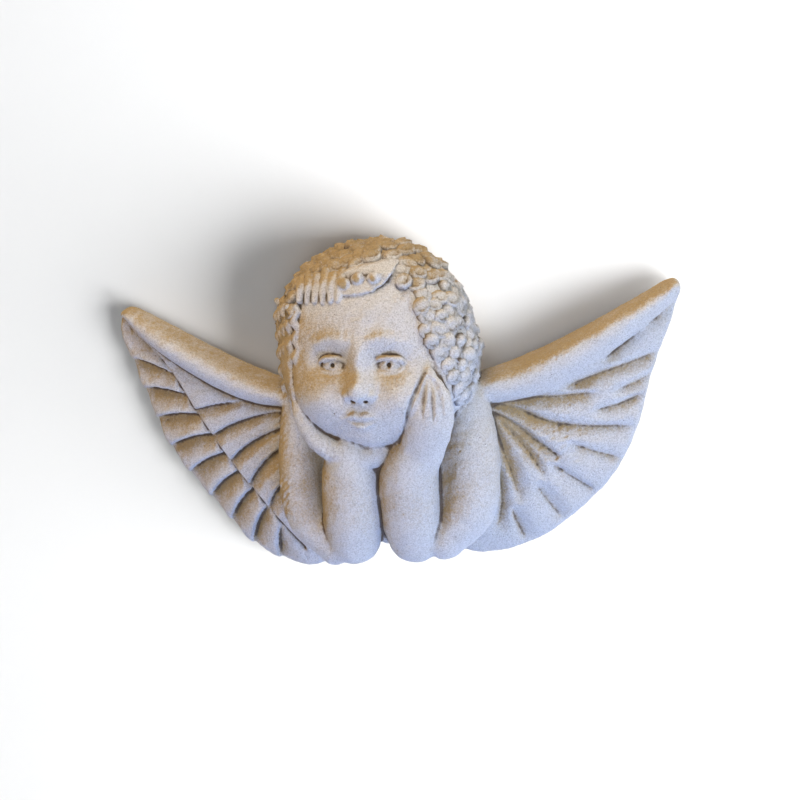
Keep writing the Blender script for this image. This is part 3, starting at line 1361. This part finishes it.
def curl_tree(material):
    """A tree that sets a ball nested in an open cup on each point."""
    tree = bpy.data.node_groups.new("ring_curls", "GeometryNodeTree")
    sockets = tree.interface
    sockets.new_socket("Scalp Points", in_out="INPUT", socket_type="NodeSocketGeometry")
    for name in ("Radius", "Height", "Size Range"):
        sockets.new_socket(name, in_out="INPUT", socket_type="NodeSocketFloat")
    sockets.new_socket("Seed", in_out="INPUT", socket_type="NodeSocketInt")
    sockets.new_socket("Curls", in_out="OUTPUT", socket_type="NodeSocketGeometry")
    bench = NodeBench(tree)
    given = bench.add("NodeGroupInput").outputs
    ball = bench.add("GeometryNodeMeshUVSphere", {
        "Segments": CURL_SEGMENTS, "Rings": CURL_RINGS, "Radius": 1.0})
    place = bench.add("GeometryNodeInputPosition").outputs[0]
    place = bench.add("ShaderNodeSeparateXYZ", {0: place}).outputs
    squares = [bench.math("POWER", place[k], 2.0) for k in range(2)]
    across = bench.math("SQRT", bench.math("ADD", *squares))
    reach = bench.math("DIVIDE", profile(bench, RING_SPREAD, across),
                       bench.math("MAXIMUM", across, SMALL_LENGTH))
    reach = bench.math("MULTIPLY", reach, given["Radius"])
    cup = profile(bench, BALL_IN_CUP, across)
    dome = profile(bench, PLAIN_DOME, across)
    openness = bench.math("SUBTRACT", OPEN_MIDDLE, bench.math("MULTIPLY", place[1], OPEN_SLOPE))
    openness = bench.math("MINIMUM", bench.math("MAXIMUM", openness, 0.0), 1.0)
    lift = bench.math("ADD", bench.math("MULTIPLY", cup, openness),
                      bench.math("MULTIPLY", dome, bench.math("SUBTRACT", 1.0, openness)))
    on_top = bench.math("GREATER_THAN", place[2], CURL_FOOT)
    below = bench.math("SUBTRACT", 1.0, on_top)
    height = bench.math("MULTIPLY", bench.math("MULTIPLY", lift, given["Height"]), on_top)
    sunk = bench.math("MULTIPLY", bench.math("MULTIPLY", place[2], given["Height"]), below)
    raised = bench.math("ADD", height, bench.math("MULTIPLY", sunk, CURL_ROOT))
    moved = bench.add("ShaderNodeCombineXYZ", {
        0: bench.math("MULTIPLY", place[0], reach),
        1: bench.math("MULTIPLY", place[1], reach),
        2: raised})
    hollow = bench.math("MINIMUM", bench.math("SUBTRACT", 1.0, lift), RIM_HOLLOW)
    curl = bench.add("GeometryNodeStoreNamedAttribute", {
        "Geometry": ball.outputs[0], "Name": "hollow", "Value": hollow}, data_type="FLOAT", domain="POINT")
    curl = bench.add("GeometryNodeSetPosition", {"Geometry": curl.outputs[0], "Position": moved.outputs[0]})
    way = bench.add("GeometryNodeInputNamedAttribute", {"Name": "outward"}, data_type="FLOAT_VECTOR")
    spin = bench.add("GeometryNodeInputNamedAttribute", {"Name": "spin"}, data_type="FLOAT")
    upright = bench.add("FunctionNodeAlignRotationToVector", {"Vector": way.outputs[0]}, axis="Z")
    about = bench.add("FunctionNodeAxisAngleToRotation", {"Angle": spin.outputs[0]})
    turned = bench.add("FunctionNodeRotateRotation", {
        0: upright.outputs[0], 1: about.outputs[0]}, rotation_space="LOCAL")
    limits = []
    for operation in ("SUBTRACT", "ADD"):
        limit = bench.math(operation, 1.0, given["Size Range"])
        limits.append(bench.add("ShaderNodeCombineXYZ", {k: limit for k in range(3)}).outputs[0])
    size = bench.add("FunctionNodeRandomValue", {
        0: limits[0], 1: limits[1], "Seed": given["Seed"]}, data_type="FLOAT_VECTOR")
    spread = bench.add("GeometryNodeInstanceOnPoints", {
        "Points": given["Scalp Points"], "Instance": curl.outputs[0], "Rotation": turned.outputs[0],
        "Scale": size.outputs[0]})
    real = bench.add("GeometryNodeRealizeInstances", {0: spread.outputs[0]})
    smooth = bench.add("GeometryNodeSetShadeSmooth", {"Geometry": real.outputs[0]})
    dressed = bench.add("GeometryNodeSetMaterial", {"Geometry": smooth.outputs[0], "Material": material})
    bench.add("NodeGroupOutput", {0: dressed.outputs[0]})
    return tree


class ORNAMENT_OT_set_curls(bpy.types.Operator):
    """Sets the ring curls on the scalp."""

    bl_idname = "ornament.set_curls"
    bl_label = "Set Curls"

    def execute(self, context):
        sizes = context.scene.ornament_curls
        places, ways = curl_places(sizes.spacing / MM)
        points = bpy.data.meshes.new("scalp_points")
        points.from_pydata(to_metres(places).tolist(), [], [])
        outward = points.attributes.new("outward", "FLOAT_VECTOR", "POINT")
        outward.data.foreach_set("vector", turned_ways(ways).astype(np.float32).ravel())
        draw = np.random.default_rng(SEED + 2)
        uneven = draw.uniform(-CURL_SPIN, CURL_SPIN, len(places))
        store(points, "spin", spin_towards_ground(turned_ways(ways)) + uneven)
        curls = new_object("ring_curls", points)
        tree = curl_tree(stone_material(context.scene.ornament_stone))
        setter = curls.modifiers.new("curls", "NODES")
        setter.node_group = tree
        values = {"Radius": sizes.radius, "Height": sizes.height, "Size Range": sizes.size_range,
                  "Seed": SEED}
        for socket in tree.interface.items_tree:
            if socket.name in values:
                setter[socket.identifier] = values[socket.name]
        mesh = baked_mesh(curls, "ring_curls")
        curls.modifiers.remove(setter)
        curls.data = mesh
        bpy.data.meshes.remove(points)
        mark_sheltered(mesh)
        finish_piece(curls)
        return {"FINISHED"}


def spin_towards_ground(ways):
    """Angle about each direction that turns a curl's open side down."""
    angles = []
    for way in ways:
        upright = Vector((0, 0, 1)).rotation_difference(Vector(way))
        local_down = upright.inverted() @ Vector((0, 0, -1))
        angles.append(math.atan2(local_down.y, local_down.x) + math.pi / 2)
    return np.array(angles)


def stone_material(colours):
    """Pale washed cast stone: brown where the wash missed it, darker in hollows, sandy and pitted."""
    name = "washed_cast_stone"
    if name in bpy.data.materials:
        return bpy.data.materials[name]
    material = bpy.data.materials.new(name)
    material.use_nodes = True
    material.node_tree.nodes.clear()
    bench = NodeBench(material.node_tree)
    place = bench.add("ShaderNodeTexCoord").outputs["Object"]
    cloud = bench.add("ShaderNodeTexNoise", {"Vector": place, **CLOUD}).outputs[0]
    grain = bench.add("ShaderNodeTexNoise", {"Vector": place, **GRAIN}).outputs[0]
    speck = bench.add("ShaderNodeTexNoise", {"Vector": place, **SPECK}).outputs[0]
    holes = bench.add("ShaderNodeTexVoronoi", {"Vector": place, **PINHOLE}).outputs
    sheltered = bench.add("ShaderNodeAttribute", attribute_name="sheltered").outputs["Fac"]
    hollow = bench.add("ShaderNodeAttribute", attribute_name="hollow").outputs["Fac"]
    drift = bench.math("MULTIPLY", bench.math("SUBTRACT", cloud, PATTERN_MIDDLE), DRIFT_STRENGTH)
    sand = bench.math("MULTIPLY", bench.math("SUBTRACT", grain, PATTERN_MIDDLE), SAND_STRENGTH)
    missed = bench.math("ADD", bench.math("ADD", sheltered, drift), sand)
    missed = bench.ranged(missed, BARE_FROM, BARE_TO)
    tone = bench.blend(missed, tuple(colours.wash), tuple(colours.bare))
    uneven = bench.math("ADD", bench.math("MULTIPLY", drift, DIRT_DRIFT),
                        bench.math("MULTIPLY", sand, DIRT_SAND))
    dirt = bench.ranged(bench.math("ADD", hollow, uneven), DIRT_FROM, DIRT_TO, DIRT_MOST)
    tone = bench.blend(dirt, tone, tuple(colours.hollow))
    shown = bench.ranged(speck, SPECK_FROM, SPECK_TO, SPECK_MOST, easing="LINEAR")
    tone = bench.blend(shown, tone, tuple(colours.speck))
    picked = bench.add("ShaderNodeSeparateXYZ", {0: holes["Color"]}).outputs[0]
    reach = bench.math("MULTIPLY", bench.math("GREATER_THAN", picked, PINHOLE_RARITY), PINHOLE_REACH)
    pinhole = bench.math("LESS_THAN", holes["Distance"], reach)
    tone = bench.blend(bench.math("MULTIPLY", pinhole, PINHOLE_DIRT), tone, tuple(colours.hollow))
    relief = bench.math("ADD", grain, bench.math("MULTIPLY", cloud, BUMP_CLOUD))
    relief = bench.math("SUBTRACT", relief, pinhole)
    bump = bench.add("ShaderNodeBump", {"Strength": 1.0, "Distance": BUMP_DISTANCE, "Height": relief})
    shader = bench.add("ShaderNodeBsdfPrincipled", {
        "Base Color": tone, "Roughness": colours.roughness, "Specular IOR Level": STONE_SHINE,
        "Normal": bump.outputs[0]})
    bench.add("ShaderNodeOutputMaterial", {"Surface": shader.outputs[0]})
    return material


def wall_material(colour):
    """Plain matt paint that is clear from behind, so the back of the plaque can be seen."""
    material = bpy.data.materials.new("matt_wall_paint")
    material.use_nodes = True
    material.node_tree.nodes.clear()
    bench = NodeBench(material.node_tree)
    paint = bench.add("ShaderNodeBsdfDiffuse", {"Color": tuple(colour)})
    clear = bench.add("ShaderNodeBsdfTransparent")
    behind = bench.add("ShaderNodeNewGeometry").outputs["Backfacing"]
    mixed = bench.add("ShaderNodeMixShader", {0: behind, 1: paint.outputs[0], 2: clear.outputs[0]})
    bench.add("ShaderNodeOutputMaterial", {"Surface": mixed.outputs[0]})
    return material


def plain_sheet(name, corners, material):
    """A flat four-sided sheet of the stage."""
    mesh = bpy.data.meshes.new(name)
    mesh.from_pydata(corners, [], [(0, 1, 2, 3)])
    mesh.materials.append(material)
    sheet = new_object(name, mesh)


def light_group(name, members):
    """A collection of the objects that a light falls on or is blocked by."""
    group = bpy.data.collections.new(name)
    for member in members:
        group.objects.link(bpy.data.objects[member])
    return group


def soft_light(name, place, size, power, colour, group):
    """A square soft light that looks at the middle of the plaque."""
    light = bpy.data.lights.new(name, "AREA")
    light.size = size
    light.energy = power
    light.color = colour
    lamp = new_object(name, light)
    turn = (-Vector(place)).to_track_quat("-Z", "Y").to_matrix().to_4x4()
    lamp.matrix_world = Matrix.Translation(place) @ turn
    lamp.light_linking.receiver_collection = group
    return lamp


class ORNAMENT_OT_build_stage(bpy.types.Operator):
    """Builds the wall, the floor, the lights and the camera."""

    bl_idname = "ornament.build_stage"
    bl_label = "Build Stage"

    def execute(self, context):
        stage = context.scene.ornament_stage
        paint = wall_material(stage.wall)
        foot = [(side * HALF_WIDTH, WALL_BACK, FLOOR_LEVEL) for side in (-1, 1)]
        top = [(side * HALF_WIDTH, WALL_BACK, WALL_TOP) for side in (1, -1)]
        front = [(side * HALF_WIDTH, FLOOR_FRONT, FLOOR_LEVEL) for side in (-1, 1)]
        plain_sheet("wall", foot + top, paint)
        plain_sheet("floor", front + foot[::-1], paint)
        stone = light_group("stone_pieces", STONE_PIECES)
        room = light_group("room_sheets", ("wall",))
        for name, place, size, power, colour in WALL_LIGHTS:
            soft_light(name, place, size, getattr(stage, power), colour, room)
        for name, place, share, colour in STONE_LIGHTS:
            lamp = soft_light(name, place, STONE_LIGHT_SIZE, stage.stone_power * share, colour, stone)
            if place[1] > WALL_BACK:
                lamp.light_linking.blocker_collection = stone
        world = bpy.data.worlds.new("even_light")
        world.use_nodes = True
        glow = world.node_tree.nodes["Background"].inputs
        glow["Color"].default_value = (*WHITE, 1.0)
        glow["Strength"].default_value = stage.sky
        context.scene.world = world
        context.scene.view_settings.view_transform = "Standard"
        aim = Vector(stage.aim)
        flat = math.cos(stage.elevation) * stage.distance
        eye = aim + Vector((math.sin(stage.azimuth) * flat, -math.cos(stage.azimuth) * flat,
                            math.sin(stage.elevation) * stage.distance))
        camera = bpy.data.cameras.new("camera")
        camera.lens = stage.lens
        camera.sensor_width = SENSOR_WIDTH
        looker = new_object("camera", camera)
        look = (aim - eye).to_track_quat("-Z", "Y").to_matrix().to_4x4()
        looker.matrix_world = Matrix.Translation(eye) @ look @ Matrix.Rotation(stage.roll, 4, "Z")
        context.scene.camera = looker
        return {"FINISHED"}


class ORNAMENT_PT_panel(bpy.types.Panel):
    """Lists the settings, and the operators that build the pieces and the stage."""

    bl_idname = "ORNAMENT_PT_panel"
    bl_label = "Angel Wall Ornament"
    bl_space_type = "VIEW_3D"
    bl_region_type = "UI"
    bl_category = "Ornament"

    def draw(self, context):
        for name, group in SETTINGS.items():
            box = self.layout.box()
            for key in group.__annotations__:
                box.prop(getattr(context.scene, name), key)
        for operator in OPERATORS:
            self.layout.operator(operator.bl_idname)


OPERATORS = (ORNAMENT_OT_cast_body, ORNAMENT_OT_set_curls, ORNAMENT_OT_build_stage)
CLASSES = tuple(SETTINGS.values()) + OPERATORS + (ORNAMENT_PT_panel,)


def register():
    """Adds the settings, the operators and the panel."""
    for cls in CLASSES:
        bpy.utils.register_class(cls)
    for name, group in SETTINGS.items():
        setattr(bpy.types.Scene, name, bpy.props.PointerProperty(type=group))


def unregister():
    """Takes away what register added."""
    for name in SETTINGS:
        delattr(bpy.types.Scene, name)
    for cls in reversed(CLASSES):
        bpy.utils.unregister_class(cls)


def main():
    """Builds the ornament and its stage."""
    register()
    bpy.ops.ornament.cast_body()
    bpy.ops.ornament.set_curls()
    bpy.ops.ornament.build_stage()


if __name__ == "__main__":
    main()
